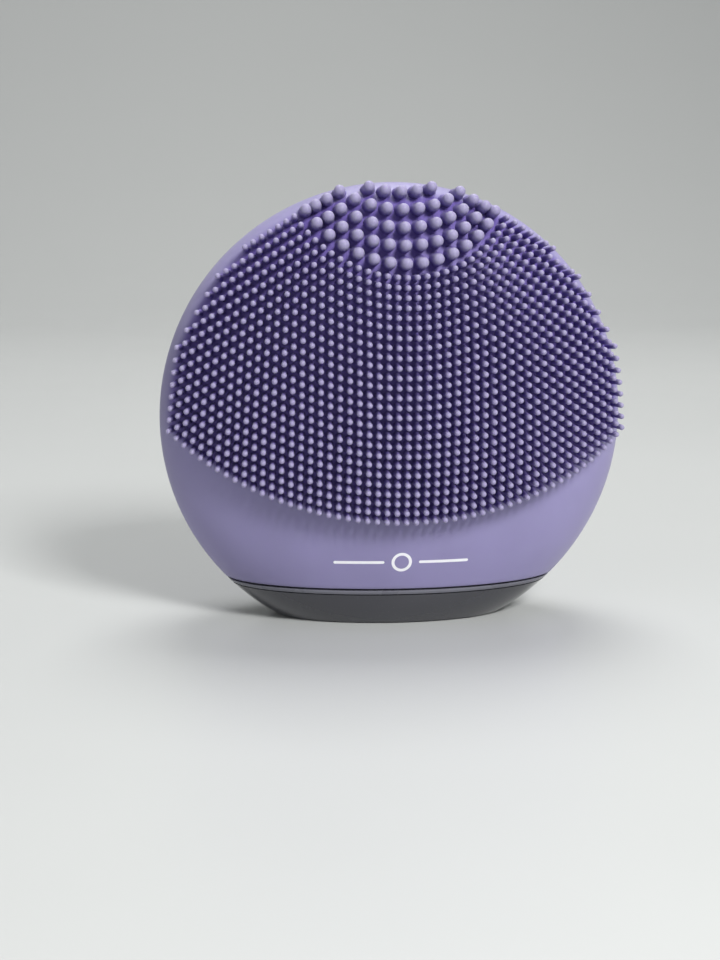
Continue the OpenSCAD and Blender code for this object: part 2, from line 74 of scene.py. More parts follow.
BODY_RADIUS = (sleeve_high.x - sleeve_low.x) / 2
HALF_DEPTH = (sleeve_high.y - sleeve_low.y) / 2
BODY_CENTRE = Vector((0, 0, sleeve_high.z - BODY_RADIUS))
SEAM_Z = sleeve_low.z
BUTTON_CENTRE = Vector((0, 0, (ring_low.z + ring_high.z) / 2))
RING_RADIUS = (ring_high.x - ring_low.x) / 2
PIPE_CENTRE = (pipe_low + pipe_high) / 2
PIPE_RADIUS = (pipe_high.x - pipe_low.x) / 2
FLANGE_RADIUS = (cap_high.x - cap_low.x) / 2
PORT_X = (jack_low.x + jack_high.x) / 2
BASE_FLOOR = jack_low.z
COVER_X = (cover_low.x + cover_high.x) / 2
COVER_RADIUS = (cover_high.x - cover_low.x) / 2

# Walls and edges of the sleeve, the rings and the base
SLEEVE_WALL = 2.0 * MM
SEAM_BEVEL = 0.35 * MM
RING_WALL = 2.2 * MM
TRIM_BEVEL = 0.12 * MM
SEAL_SETBACK = 0.5 * MM
BASE_WALL = 1.6 * MM

# Openings and screw bosses of the base
PORT_RADIUS = 1.9 * MM
BOSS_RADIUS = 2.1 * MM
SCREW_RADIUS = 0.82 * MM
COVER_CLEARANCE = 0.02 * MM
SCREW_HEAD_HEIGHT = 1.2 * MM
HEAD_TOP = screw_low.z + SCREW_HEAD_HEIGHT

# The button and the ring around it
BUTTON_RING_WIDTH = 1.5 * MM
BUTTON_GAP = 0.25 * MM
BUTTON_PROUD = 0.3 * MM
BUTTON_EDGE = 0.35 * MM
RING_EDGE = 0.15 * MM
PLUNGER_RADIUS = 1.4 * MM
PLUNGER_LENGTH = 1.15 * MM
FLANGE_THICKNESS = 0.8 * MM
CAP_OVERLAP = 0.05 * MM

# The printed mark on the skirt: a small ring between two bars
MARK_Z = SEAM_Z + 4.4 * MM
MARK_STROKE = 0.19 * MM
MARK_FADE = 0.05 * MM
MARK_RING_RADIUS = 1.25 * MM
MARK_BAR_MIDDLE = 6.1 * MM
MARK_BAR_HALF = 3.4 * MM

# How far a tip may lie outside the body's outline, and how much further out the thick zone reaches
TIP_OVERHANG = 2.0 * MM
THICK_OVERHANG = 0.9 * MM

# How much the silicone's colour varies, and how softly the painted shade fades in at the edge of the
# touch-points
SILICONE_MOTTLE = 0.04
FIELD_FADE = 0.6 * MM


# ---------- settings ----------

class TouchpointSettings(bpy.types.PropertyGroup):
    """Sizes of the fine and thick touch-points"""
    row_centre: FloatProperty(
        name="Row centre", description="Height above the body's centre of the point all rows curve around",
        default=39.6 * MM, unit="LENGTH")
    fine_outer_row: FloatProperty(
        name="Outer fine row", description="Radius of the outermost fine row",
        default=52.1 * MM, unit="LENGTH")
    fine_inner_row: FloatProperty(
        name="Inner fine row", description="Radius of the innermost fine row",
        default=18.2 * MM, unit="LENGTH")
    fine_rows: IntProperty(name="Fine rows", description="Number of fine rows on the middle line", default=26)
    fine_spacing: FloatProperty(
        name="Fine spacing", description="Distance between neighbours in a fine row",
        default=1.37 * MM, unit="LENGTH")
    fine_radius: FloatProperty(
        name="Fine tip radius", description="Radius of a fine touch-point near its tip",
        default=0.405 * MM, unit="LENGTH")
    thick_outer_row: FloatProperty(
        name="Outer thick row", description="Radius of the outermost thick row",
        default=16.3 * MM, unit="LENGTH")
    thick_rows: IntProperty(name="Thick rows", description="Number of thick rows", default=7)
    thick_rise: FloatProperty(
        name="Thick rise", description="How far each thick row lies above the one below",
        default=2.45 * MM, unit="LENGTH")
    thick_spacing: FloatProperty(
        name="Thick spacing", description="Distance between neighbours in a thick row",
        default=2.27 * MM, unit="LENGTH")
    thick_radius: FloatProperty(
        name="Thick radius", description="Radius of a thick touch-point near its tip",
        default=0.8 * MM, unit="LENGTH")
    height: FloatProperty(
        name="Height", description="How far a touch-point stands out of the sleeve",
        default=3.0 * MM, unit="LENGTH")
    fan: FloatProperty(
        name="Fan", description="How much a touch-point leans from straight forward to square on the surface",
        default=0.25, min=0.0, max=1.0, subtype="FACTOR")
    field_radius: FloatProperty(
        name="Field radius", description="Radius of the disc that the touch-points fill",
        default=32.75 * MM, unit="LENGTH")


class SiliconeSettings(bpy.types.PropertyGroup):
    """Colours of the silicone, and the painted shade between the touch-points"""
    skin: FloatVectorProperty(
        name="Skin", description="Smooth silicone", subtype="COLOR", size=4, default=(0.255, 0.23, 0.41, 1))
    # Painted shade: dark violet painted on the sleeve between the touch-points and at each touch-point's root
    painted_shade: FloatVectorProperty(
        name="Shade", description="Silicone deep between the touch-points", subtype="COLOR", size=4,
        default=(0.125, 0.088, 0.31, 1))
    print_colour: FloatVectorProperty(
        name="Print", description="Printed mark on the skirt", subtype="COLOR", size=4,
        default=(0.85, 0.85, 0.88, 1))
    tip: FloatVectorProperty(
        name="Tip", description="Rounded end of a touch-point", subtype="COLOR", size=4,
        default=(0.29, 0.265, 0.415, 1))


class RidgeSettings(bpy.types.PropertyGroup):
    """Sizes of the massage ridges"""
    first: FloatProperty(
        name="First ridge", description="Radius of the innermost ridge", default=8.0 * MM, unit="LENGTH")
    pitch: FloatProperty(
        name="Ridge pitch", description="Distance between ridges", default=3.6 * MM, unit="LENGTH")
    count: IntProperty(name="Ridges", description="Number of ridges", default=6)
    radius: FloatProperty(
        name="Ridge radius", description="Radius of a ridge's round section", default=1.1 * MM, unit="LENGTH")
    drop: FloatProperty(
        name="Drop", description="How far each end of a ridge runs below the middle",
        default=math.radians(20), subtype="ANGLE")
    sink: FloatProperty(
        name="Sink", description="How far a ridge's centre line lies below the surface",
        default=0.37 * MM, unit="LENGTH")


class BaseSettings(bpy.types.PropertyGroup):
    """Colours of the base"""
    gloss: FloatVectorProperty(
        name="Base cap", description="Dark glossy base cap", subtype="COLOR", size=4,
        default=(0.035, 0.035, 0.045, 1))
    trim: FloatVectorProperty(
        name="Trim ring", description="Thin grey ring above the base cap", subtype="COLOR", size=4,
        default=(0.15, 0.15, 0.18, 1))
    bevel: FloatProperty(
        name="Edge rounding", description="Rounding of the base's edges", default=0.4 * MM, unit="LENGTH")


class StageSettings(bpy.types.PropertyGroup):
    """Camera, lights and floor"""
    azimuth: FloatProperty(name="Azimuth", description="Camera angle around the brush",
                           default=math.radians(-8), subtype="ANGLE")
    elevation: FloatProperty(name="Elevation", description="Camera angle above the horizon",
                             default=math.radians(9), subtype="ANGLE")
    roll: FloatProperty(name="Roll", description="Camera roll", default=math.radians(0.6), subtype="ANGLE")
    distance: FloatProperty(name="Distance", description="Camera distance from the body's centre",
                            default=0.2472, unit="LENGTH")
    lens: FloatProperty(name="Lens", description="Focal length in millimetres", default=62.8)
    floor_colour: FloatVectorProperty(name="Floor", description="Pale floor", subtype="COLOR", size=4,
                                      default=(0.50, 0.51, 0.50, 1))


# ---------- modelling helpers ----------

def nothing_selected():
    """Leaves edit mode and deselects every object."""
    if bpy.context.object and bpy.context.object.mode != "OBJECT":
        bpy.ops.object.mode_set(mode="OBJECT")
    bpy.ops.object.select_all(action="DESELECT")


def make_active(piece):
    """Selects one object alone."""
    nothing_selected()
    piece.select_set(True)
    bpy.context.view_layer.objects.active = piece


def named_new(name):
    """Names the object an operator has just made, and its mesh."""
    piece = bpy.context.object
    piece.name = piece.data.name = name
    return piece


def place_in_mesh(piece):
    """Moves an object's place, turn and scale into its mesh."""
    make_active(piece)
    bpy.ops.object.transform_apply(location=True, rotation=True, scale=True)


def select_where(piece, kind, test):
    """In edit mode, selects only the vertices, edges or faces that pass a test."""
    bpy.ops.mesh.select_mode(type={"vertices": "VERT", "edges": "EDGE", "polygons": "FACE"}[kind])
    bpy.ops.mesh.select_all(action="DESELECT")
    bpy.ops.object.mode_set(mode="OBJECT")
    for part in getattr(piece.data, kind):
        part.select = test(part)
    bpy.ops.object.mode_set(mode="EDIT")


def apply_modifier(piece, kind, **values):
    """Adds a modifier with these values and applies it."""
    make_active(piece)
    modifier = piece.modifiers.new(kind.lower(), kind)
    for name, value in values.items():
        setattr(modifier, name, value)
    bpy.ops.object.modifier_apply(modifier=modifier.name)


def smooth(piece, angle=40):
    """Smooth shading, with edges sharper than the angle, in degrees, left crisp."""
    make_active(piece)
    bpy.ops.object.shade_smooth_by_angle(angle=math.radians(angle))


def discard(piece):
    """Deletes a helper object."""
    make_active(piece)
    bpy.ops.object.delete()


def dress(piece, finish, node, body=HANDSET):
    """Gives a finished piece its material and its body, and hides the CAD node it stands for."""
    piece.data.materials.clear()
    piece.data.materials.append(finish)
    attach(piece, body)
    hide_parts(node)


def surface_depth(radius, offset=0.0):
    """Half the body's depth at a distance from its axis, for its surface moved out by an offset."""
    share = min(radius / (BODY_RADIUS + offset), 1.0)
    return (HALF_DEPTH + offset) * math.sqrt(1.0 - share * share)


def surface_normal(x, z):
    """Outward normal of the body's front at a place given from its axis."""
    depth = surface_depth(math.hypot(x, z))
    return Vector((x / BODY_RADIUS ** 2, -depth / HALF_DEPTH ** 2, z / BODY_RADIUS ** 2)).normalized()


def pebble(name, offset=0.0, segments=160, rings=112):
    """The rounded body, its surface moved out by an offset."""
    nothing_selected()
    bpy.ops.mesh.primitive_uv_sphere_add(segments=segments, ring_count=rings, radius=1)
    bpy.ops.object.mode_set(mode="EDIT")
    bpy.ops.mesh.select_all(action="SELECT")
    radius, depth = BODY_RADIUS + offset, HALF_DEPTH + offset
    bpy.ops.transform.resize(value=(radius, depth, radius))
    bpy.ops.transform.translate(value=BODY_CENTRE)
    bpy.ops.object.mode_set(mode="OBJECT")
    return named_new(name)


def cut_level(piece, height, keep_above):
    """Cuts a piece level at a height and throws one side away."""
    make_active(piece)
    bpy.ops.object.mode_set(mode="EDIT")
    bpy.ops.mesh.select_all(action="SELECT")
    bpy.ops.mesh.bisect(plane_co=(0, 0, height), plane_no=(0, 0, 1), use_fill=True,
                        clear_inner=keep_above, clear_outer=not keep_above)
    bpy.ops.object.mode_set(mode="OBJECT")


def bevel_level_edges(piece, height, width, segments=3):
    """Rounds the outline edges that lie at a height."""
    make_active(piece)
    bpy.ops.object.mode_set(mode="EDIT")
    points = piece.data.vertices
    near = 1e-6
    select_where(piece, "edges", lambda edge: all(abs(points[i].co.z - height) < near for i in edge.vertices))
    bpy.ops.mesh.bevel(offset=width, segments=segments, affect="EDGES")
    bpy.ops.object.mode_set(mode="OBJECT")


def rod(name, place, radius, low_y, high_y, sides=96):
    """A round rod from front to back."""
    nothing_selected()
    bpy.ops.mesh.primitive_cylinder_add(
        vertices=sides, radius=radius, depth=high_y - low_y,
        location=(place.x, (low_y + high_y) / 2, place.z), rotation=(math.radians(90), 0, 0))
    piece = named_new(name)
    place_in_mesh(piece)
    return piece


def upright_rod(name, x, radius, low, high, sides=48):
    """A round rod standing upright."""
    nothing_selected()
    bpy.ops.mesh.primitive_cylinder_add(
        vertices=sides, radius=radius, depth=high - low, location=(x, 0, (low + high) / 2))
    piece = named_new(name)
    place_in_mesh(piece)
    return piece


def carve(piece, cutter, operation="DIFFERENCE"):
    """Cuts a piece with another, which is then deleted."""
    apply_modifier(piece, "BOOLEAN", object=cutter, operation=operation, solver="EXACT")
    discard(cutter)


def hollow(piece, wall, floor=None):
    """Empties a piece down to a floor, leaving a wall that follows the body's curve."""
    core = pebble(piece.name + "_core", -wall)
    if floor is not None:
        cut_level(core, floor, keep_above=True)
    carve(piece, core)


def turned(name, outline, sides):
    """A closed round piece standing on its axis, raised ring by ring from (radius, height) pairs."""
    nothing_selected()
    first_radius, first_height = outline[0]
    bpy.ops.mesh.primitive_circle_add(vertices=sides, radius=first_radius, fill_type="NGON")
    piece = named_new(name)
    bpy.ops.object.mode_set(mode="EDIT")
    bpy.ops.mesh.select_all(action="SELECT")
    bpy.ops.transform.translate(value=(0, 0, first_height))
    radius, height = first_radius, first_height
    for next_radius, next_height in outline[1:]:
        bpy.ops.mesh.extrude_region_move(TRANSFORM_OT_translate={"value": (0, 0, next_height - height)})
        if next_radius > 0:
            grow = next_radius / radius
            bpy.ops.transform.resize(value=(grow, grow, 1))
            radius = next_radius
        else:
            bpy.ops.mesh.merge(type="CENTER")
        height = next_height
    bpy.ops.mesh.select_all(action="SELECT")
    bpy.ops.mesh.normals_make_consistent(inside=False)
    bpy.ops.object.mode_set(mode="OBJECT")
    return piece


def keep_height(piece, height):
    """Stores how far up each point lies, from 0 at the root to 1 at the tip."""
    rise = piece.data.attributes.new("rise", "FLOAT", "POINT")
    for point, value in zip(piece.data.vertices, rise.data):
        value.value = max(0.0, min(1.0, point.co.z / height))


def copies_joined(template, matrices, name):
    """Copies a template to every place, each with its own mesh, and joins them to one piece."""
    nothing_selected()
    collection = bpy.context.collection
    first = None
    for matrix in matrices:
        mesh = template.data.copy()
        mesh.transform(matrix)
        twin = bpy.data.objects.new(name, mesh)
        collection.objects.link(twin)
        twin.select_set(True)
        first = first or twin
    bpy.context.view_layer.objects.active = first
    bpy.ops.object.join()
    first.name = first.data.name = name
    discard(template)
    return first


# ---------- materials ----------

class Finish:
    """A material built from nodes on the object's own coordinates."""

    def __init__(self, name, colour, roughness, **sockets):
        self.material = bpy.data.materials.new(name)
        self.material.use_nodes = True
        self.nodes = self.material.node_tree.nodes
        self.links = self.material.node_tree.links
        self.shader = self.nodes["Principled BSDF"]
        self.shader.inputs["Base Color"].default_value = tuple(colour)
        self.shader.inputs["Roughness"].default_value = roughness
        for socket, value in sockets.items():
            self.shader.inputs[socket.replace("_", " ")].default_value = value
        self.coordinates = self.nodes.new("ShaderNodeTexCoord")

    def join(self, source, target):
        """Links one socket to another."""
        self.links.new(source, target)

    def place(self):
        """The place on the object."""
        return self.coordinates.outputs["Object"]

    def axes(self):
        """The place on the object as x, y and z."""
        split = self.nodes.new("ShaderNodeSeparateXYZ")
        self.join(self.place(), split.inputs[0])
        return split.outputs

    def noise(self, scale, detail=3.0, vector=None):
        """A cloudy pattern, finer with a larger scale, from 0 to 1."""
        node = self.nodes.new("ShaderNodeTexNoise")
        node.inputs["Scale"].default_value = scale
        node.inputs["Detail"].default_value = detail
        self.join(vector or self.place(), node.inputs["Vector"])
        return node.outputs["Fac"]

    def reckon(self, operation, a, b=0.5):
        """One step of arithmetic on sockets or numbers."""
        node = self.nodes.new("ShaderNodeMath")
        node.operation = operation
        for socket, value in zip(node.inputs, (a, b)):
            if isinstance(value, bpy.types.NodeSocket):
                self.join(value, socket)
            else:
                socket.default_value = value
        return node.outputs[0]

    def distance(self, across, up):
        """The length of a step across and up."""
        across, up = (self.reckon("POWER", side, 2.0) for side in (across, up))
        return self.reckon("SQRT", self.reckon("ADD", across, up))

    def ramp(self, value, low, high, low_out=0.0, high_out=1.0):
        """Eases from one value to another while the input goes from low to high."""
        node = self.nodes.new("ShaderNodeMapRange")
        node.interpolation_type = "SMOOTHSTEP"
        self.join(value, node.inputs["Value"])
        node.inputs["From Min"].default_value = low
        node.inputs["From Max"].default_value = high
        node.inputs["To Min"].default_value = low_out
        node.inputs["To Max"].default_value = high_out
        return node.outputs["Result"]

    def blend(self, factor, a, b):
        """Mixes two colours."""
        node = self.nodes.new("ShaderNodeMix")
        node.data_type = "RGBA"
        colours = [socket for socket in node.inputs if socket.type == "RGBA"]
        for socket, value in ((node.inputs[0], factor), (colours[0], a), (colours[1], b)):
            if isinstance(value, bpy.types.NodeSocket):
                self.join(value, socket)
            else:
                socket.default_value = value
        return [socket for socket in node.outputs if socket.type == "RGBA"][0]

    def mottled(self, pattern, colour, amount, low=0.35, high=0.65):
        """A colour made a little darker and lighter by a pattern."""
        darker, lighter = tinted(colour, 1 - amount), tinted(colour, 1 + amount)
        return self.blend(self.ramp(pattern, low, high), darker, lighter)

    def bump(self, height, strength, distance):
        """Roughens the surface by a pattern."""
        node = self.nodes.new("ShaderNodeBump")
        node.inputs["Strength"].default_value = strength
        node.inputs["Distance"].default_value = distance
        self.join(height, node.inputs["Height"])
        self.join(node.outputs["Normal"], self.shader.inputs["Normal"])

    def colour_from(self, socket):
        """Takes the colour from a socket."""
        self.join(socket, self.shader.inputs["Base Color"])

    def roughness_from(self, socket):
        """Takes the roughness from a socket."""
        self.join(socket, self.shader.inputs["Roughness"])


def tinted(colour, factor):
    """A colour made lighter or darker."""
    return tuple(min(1.0, part * factor) for part in colour[:3]) + (1.0,)


def silicone_look(name, colour):
    """Matte moulded silicone: soft sheen, light scattered under the skin, a faint powdery grain."""
    look = Finish(name, colour, 0.46, Subsurface_Weight=0.22, Subsurface_Scale=0.0012,
                  Sheen_Weight=0.1, Sheen_Roughness=0.5, Specular_IOR_Level=0.32)
    look.shader.inputs["Subsurface Radius"].default_value = (1.0, 0.7, 1.2)
    look.cloud = look.noise(scale=70.0, detail=4.0)
    grain = look.noise(scale=5200.0, detail=2.0)
    look.roughness_from(look.ramp(look.cloud, 0.3, 0.7, low_out=0.46, high_out=0.56))
    look.bump(grain, strength=0.18, distance=0.02 * MM)
    return look


def painted_shade_mask(look, settings):
    """Mask of the painted shade: 1 where the touch-points stand, 0 on the smooth silicone, from the place on
    the body.
    """
    x, y, z = look.axes()

    def distance_from(height):
        return look.distance(x, look.reckon("SUBTRACT", z, height))

    def within(distance, reach):
        return look.ramp(distance, reach + FIELD_FADE, reach - FIELD_FADE)

    inside_disc = within(distance_from(BODY_CENTRE.z), settings.field_radius)
    inside_rows = within(distance_from(BODY_CENTRE.z + settings.row_centre), settings.fine_outer_row)
    in_front = look.reckon("LESS_THAN", y, 0.0)
    return look.reckon("MULTIPLY", look.reckon("MULTIPLY", inside_disc, inside_rows), in_front)


def skirt_mark(look):
    """1 on the printed mark low on the front: a small ring between two short bars."""
    x, y, z = look.axes()
    up = look.reckon("SUBTRACT", z, MARK_Z)
    ring_gap = look.reckon("ABSOLUTE", look.reckon("SUBTRACT", look.distance(x, up), MARK_RING_RADIUS))
    from_bar = look.reckon("ABSOLUTE", look.reckon("SUBTRACT", look.reckon("ABSOLUTE", x), MARK_BAR_MIDDLE))
    past_bar = look.reckon("MAXIMUM", look.reckon("SUBTRACT", from_bar, MARK_BAR_HALF), 0.0)
    nearest = look.reckon("MINIMUM", ring_gap, look.distance(past_bar, up))
    mark = look.ramp(nearest, MARK_STROKE + MARK_FADE, MARK_STROKE)
    return look.reckon("MULTIPLY", mark, look.reckon("LESS_THAN", y, 0.0))


def sleeve_finish(silicone, touchpoints):
    """The sleeve's silicone: painted shade between the touch-points, with the mark printed on the skirt."""
    look = silicone_look("Lavender silicone sleeve", silicone.skin)
    skin = look.mottled(look.cloud, silicone.skin, SILICONE_MOTTLE)
    # Painted shade: the sleeve is darkened where the touch-points stand
    with_painted_shade = look.blend(painted_shade_mask(look, touchpoints), skin, silicone.painted_shade)
    look.colour_from(look.blend(skirt_mark(look), with_painted_shade, silicone.print_colour))
    return look.material


def touchpoint_finish(name, root, tip, low, high):
    """Silicone that turns from painted shade at the root to the tip's pale colour between two heights."""
    look = silicone_look(name, tip)
    rise = look.nodes.new("ShaderNodeAttribute")
    rise.attribute_name = "rise"
    # Painted shade at the root, fading to the tip's colour up the touch-point
    climb = look.ramp(rise.outputs["Fac"], low, high)
    look.colour_from(look.blend(climb, root, tip))
    return look.material


def plain_silicone_finish(name, colour):
    """Silicone of one colour."""
    look = silicone_look(name, colour)
    look.colour_from(look.mottled(look.cloud, colour, SILICONE_MOTTLE))
    return look.material


def gloss_finish(name, colour):
    """Polished plastic with a clear top coat, faint waviness and a little dust."""
    roughness = 0.1
    look = Finish(name, colour, roughness, Coat_Weight=0.6, Coat_Roughness=0.04, Specular_IOR_Level=0.6)
    haze = look.noise(scale=160.0)
    dust = look.noise(scale=2600.0, detail=2.0)
    look.roughness_from(look.ramp(haze, 0.35, 0.7, roughness, roughness + 0.08))
    look.colour_from(look.blend(look.ramp(dust, 0.66, 0.74, high_out=0.25), colour, tinted(colour, 2.5)))
    look.bump(look.noise(scale=90.0, detail=1.0), strength=0.05, distance=0.1 * MM)
    return look.material


def satin_finish(name, colour, roughness=0.35, grain=1800.0):
    """Moulded plastic or rubber with a fine spark-eroded grain."""
    look = Finish(name, colour, roughness, Specular_IOR_Level=0.45)
    cloud = look.noise(scale=140.0)
    look.colour_from(look.mottled(cloud, colour, 0.08))
    look.roughness_from(look.ramp(cloud, 0.3, 0.7, roughness - 0.05, roughness + 0.07))
    look.bump(look.noise(scale=grain), strength=0.25, distance=0.03 * MM)
    return look.material


def metal_finish(name, colour, roughness=0.3, stretch=(1, 1, 1)):
    """Machined or drawn metal with fine lines along one direction."""
    look = Finish(name, colour, roughness, Metallic=1.0)
    mapping = look.nodes.new("ShaderNodeMapping")
    mapping.inputs["Scale"].default_value = stretch
    look.join(look.place(), mapping.inputs["Vector"])
    lines = look.noise(scale=2200.0, vector=mapping.outputs["Vector"])
    look.roughness_from(look.ramp(lines, 0.3, 0.7, roughness - 0.08, roughness + 0.1))
    look.colour_from(look.blend(look.ramp(lines, 0.3, 0.7), tinted(colour, 0.88), tinted(colour, 1.08)))
    look.bump(lines, strength=0.12, distance=0.01 * MM)
    return look.material


# ---------- pieces ----------

def sleeve_piece():
    """The silicone skin: the rounded body cut level at the seam, hollow, with its holes at the back."""
    piece = pebble("silicone_sleeve_skin")
    cut_level(piece, SEAM_Z, keep_above=True)
    bevel_level_edges(piece, SEAM_Z, SEAM_BEVEL)
    hollow(piece, SLEEVE_WALL)
    carve(piece, rod("button_hole_cutter", BUTTON_CENTRE, RING_RADIUS, ring_low.y, 2 * HALF_DEPTH))
    carve(piece, rod("pipe_hole_cutter", PIPE_CENTRE, PIPE_RADIUS, ring_low.y, 2 * HALF_DEPTH, sides=32))
    smooth(piece, angle=50)
    return piece


def leaning(x, z, settings):
    """The direction a touch-point grows in at a place on the front."""
    forward = Vector((0, -1, 0))
    return (forward * (1 - settings.fan) + surface_normal(x, z) * settings.fan).normalized()


def standing_place(tip_x, tip_z, settings):
    """How far from the axis a touch-point with this tip is rooted, and its place and turn there."""
    lean = leaning(tip_x, tip_z, settings)
    x, z = tip_x - lean.x * settings.height, tip_z - lean.z * settings.height
    radius = math.hypot(x, z)
    root = BODY_CENTRE + Vector((x, -surface_depth(radius), z))
    return radius, Matrix.Translation(root) @ lean.to_track_quat("Z", "Y").to_matrix().to_4x4()


def row_places(row_radius, spacing, settings, limit, raised=0.0):
    """Places along one curved row, spaced evenly from the middle line, as long as they stay on the disc."""
    widest = math.radians(100)
    step = spacing / row_radius
    for i in range(-int(widest / step), int(widest / step) + 1):
        angle = i * step
        x = row_radius * math.sin(angle)
        z = settings.row_centre - row_radius * math.cos(angle) + raised
        if math.hypot(x, z) > BODY_RADIUS + TIP_OVERHANG:
            continue
        radius, matrix = standing_place(x, z, settings)
        if radius < limit:
            yield matrix


def touchpoint_template(name, radius, height, sides, dome_steps):
    """One touch-point: a flared foot sunk in the sleeve, a slim shaft and a domed end."""
    sink = 0.35 * MM
    foot, ankle, shaft = 1.45 * radius, 1.18 * radius, 1.02 * radius
    ankle_height, shaft_height = 0.12 * height, 0.35 * height
    outline = [(foot, -sink), (ankle, ankle_height), (shaft, shaft_height)]
    for step in range(dome_steps + 1):
        angle = math.radians(90) * step / dome_steps
        end = 0.0 if step == dome_steps else radius * math.cos(angle)
        outline.append((end, height - radius * (1 - math.sin(angle))))
    piece = turned(name, outline, sides)
    keep_height(piece, height)
    return piece


def fine_touchpoint_places(settings):
    """Places of the fine touch-points, row by row from the lowest."""
    pitch = (settings.fine_outer_row - settings.fine_inner_row) / (settings.fine_rows - 1)
    for row in range(settings.fine_rows):
        radius = settings.fine_outer_row - row * pitch
        yield from row_places(radius, settings.fine_spacing, settings, settings.field_radius)


def thick_touchpoint_places(settings):
    """Places of the thick touch-points, row by row from the lowest."""
    for row in range(settings.thick_rows):
        yield from row_places(settings.thick_outer_row, settings.thick_spacing, settings,
                              settings.field_radius + THICK_OVERHANG, row * settings.thick_rise)


def base_slice(name, low, high, inset, bevel):
    """A level slice of the rounded body, drawn in by an inset, with rounded edges."""
    piece = pebble(name, -inset, segments=128, rings=160)
    cut_level(piece, low, keep_above=True)
    cut_level(piece, high, keep_above=False)
    if bevel:
        for height in (low, high):
            bevel_level_edges(piece, height, bevel, segments=2)
    smooth(piece, angle=30)
    return piece


def round_off_end(piece, ring, direction, radius, steps=4):
    """Closes an open ring of vertices with a dome that points in a direction."""
    make_active(piece)
    bpy.ops.object.mode_set(mode="EDIT")
    select_where(piece, "vertices", lambda point: point.index in ring)
    rise, size = 0.0, radius
    for step in range(1, steps + 1):
        angle = math.radians(90) * step / steps
        next_rise, next_size = radius * math.sin(angle), radius * math.cos(angle)
        shift = direction * (next_rise - rise)
        bpy.ops.mesh.extrude_region_move(TRANSFORM_OT_translate={"value": shift})
        if step < steps:
            bpy.ops.transform.resize(value=(next_size / size,) * 3)
        else:
            bpy.ops.mesh.merge(type="CENTER")
        rise, size = next_rise, next_size
    bpy.ops.object.mode_set(mode="OBJECT")


def ridge_piece(name, radius, settings, sides=24):
    """One massage ridge: a round section spun around the body's axis, with a dome at each end."""
    depth = surface_depth(radius, -settings.sink)
    across, down = math.cos(settings.drop), math.sin(settings.drop)
    centre = BODY_CENTRE + Vector((0, depth, 0))
    nothing_selected()
    bpy.ops.mesh.primitive_circle_add(
        vertices=sides, radius=settings.radius, rotation=(0, settings.drop, 0),
        location=centre + Vector((across, 0, -down)) * radius)
    piece = named_new(name)
    place_in_mesh(piece)
    bpy.ops.object.mode_set(mode="EDIT")
    bpy.ops.mesh.select_all(action="SELECT")
    sweep = math.pi + 2 * settings.drop
    fewest_steps, step_length = 24, 0.9 * MM
    steps = max(fewest_steps, int(sweep * radius / step_length))
    bpy.ops.mesh.spin(steps=steps, angle=sweep, center=centre, axis=(0, 1, 0))
    bpy.ops.object.mode_set(mode="OBJECT")
    last = len(piece.data.vertices) - sides
    round_off_end(piece, range(last, last + sides), Vector((down, 0, -across)), settings.radius)
    round_off_end(piece, range(sides), Vector((-down, 0, -across)), settings.radius)
    bpy.ops.object.mode_set(mode="EDIT")
    bpy.ops.mesh.select_all(action="SELECT")
    bpy.ops.mesh.normals_make_consistent(inside=False)
    bpy.ops.object.mode_set(mode="OBJECT")
    return piece


def joined(pieces, name):
    """Joins pieces to one."""
    nothing_selected()
    for piece in pieces:
        piece.select_set(True)
    bpy.context.view_layer.objects.active = pieces[0]
    bpy.ops.object.join()
    pieces[0].name = pieces[0].data.name = name
    return pieces[0]


def domed_disc(name, radius, back, proud, edge):
    """A round piece cut from the body's curve, raised by an amount, with a rounded edge."""
    piece = pebble(name, proud)
    carve(piece, rod(name + "_cutter", BUTTON_CENTRE, radius, back, 2 * HALF_DEPTH), "INTERSECT")
    apply_modifier(piece, "BEVEL", width=edge, segments=3, limit_method="ANGLE", angle_limit=math.radians(40))
    return piece


def button_piece(cap_radius):
    """The button: a domed cap, the flange that keeps it in the ring and the plunger behind it."""
    flange_back = cap_low.y + PLUNGER_LENGTH
    flange_front = flange_back + FLANGE_THICKNESS
    cap = domed_disc("button_cap", cap_radius, flange_front - CAP_OVERLAP, BUTTON_PROUD, BUTTON_EDGE)
    flange = rod("button_flange", BUTTON_CENTRE, FLANGE_RADIUS, flange_back, flange_front)
    plunger = rod("button_plunger", BUTTON_CENTRE, PLUNGER_RADIUS, cap_low.y, flange_back, sides=48)
    button = joined([cap, flange, plunger], "button_key")
    smooth(button)
    return button


def button_ring_piece(cap_radius):
    """The dark ring around the button, which stands half as proud as the button."""
    ring = domed_disc("button_surround", RING_RADIUS, ring_low.y, BUTTON_PROUD / 2, RING_EDGE)
    carve(ring, rod("button_surround_hole", BUTTON_CENTRE, cap_radius + BUTTON_GAP, 0, 2 * HALF_DEPTH))
    smooth(ring)
    return ring


def ring_slice(name, low, high, inset=0.0, bevel=0.0):
    """A level ring: a slice of the body with its middle taken out."""
    ring = base_slice(name, low, high, inset, bevel)
    hollow(ring, RING_WALL)
    smooth(ring, angle=30)
    return ring


def base_cap_piece(settings):
    """The base cap: hollow, with a screw boss at each end and the charging port's opening underneath."""
    cap = base_slice("base_cap_shell", base_low.z, base_high.z, 0, settings.bevel)
    hollow(cap, BASE_WALL, BASE_FLOOR)
    below = base_low.z - MM
    carve(cap, upright_rod("port_cutter", PORT_X, PORT_RADIUS, below, BASE_FLOOR + MM))
    for x in (-COVER_X, COVER_X):
        boss = upright_rod("screw_boss", x, BOSS_RADIUS, BASE_FLOOR / 2, base_high.z)
        carve(cap, boss, "UNION")
        carve(cap, upright_rod("screw_cutter", x, SCREW_RADIUS, below, base_high.z + MM))
        carve(cap, upright_rod("head_cutter", x, COVER_RADIUS + COVER_CLEARANCE, below, HEAD_TOP))
    smooth(cap, angle=30)
    return cap


# ---------- operators ----------

